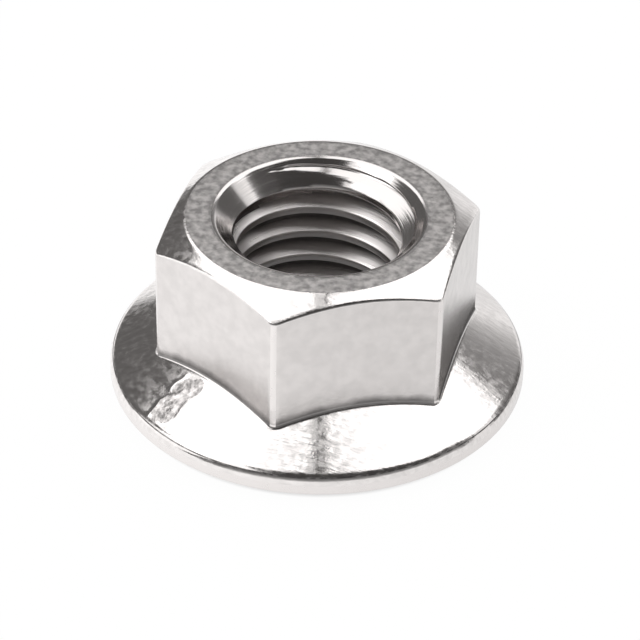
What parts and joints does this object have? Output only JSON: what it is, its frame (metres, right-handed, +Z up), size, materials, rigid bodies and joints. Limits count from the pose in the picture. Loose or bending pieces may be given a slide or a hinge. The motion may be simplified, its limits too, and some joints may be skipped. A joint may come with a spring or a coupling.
{
  "type": "serrated flange nut",
  "caption": "Hexagon nut with a wide conical flange, a chamfered top, a countersunk threaded bore and a ring of swept ratchet teeth under the flange.",
  "frame": {"origin": "centre of the bearing face, where the thread axis meets the plane of the tooth crests", "axes": "+Z up along the thread axis, from the flange to the top face; +X out through the middle of one flat of the hexagon"},
  "size_m": [0.0218, 0.0218, 0.01],
  "materials": {
    "stainless_steel": "austenitic stainless steel, turned and cold formed: mirror-bright cones and rim, satin flats, dull top face"
  },
  "bodies": {
    "root": {"flange_nut": "stainless_steel"}
  },
  "joints": []
}
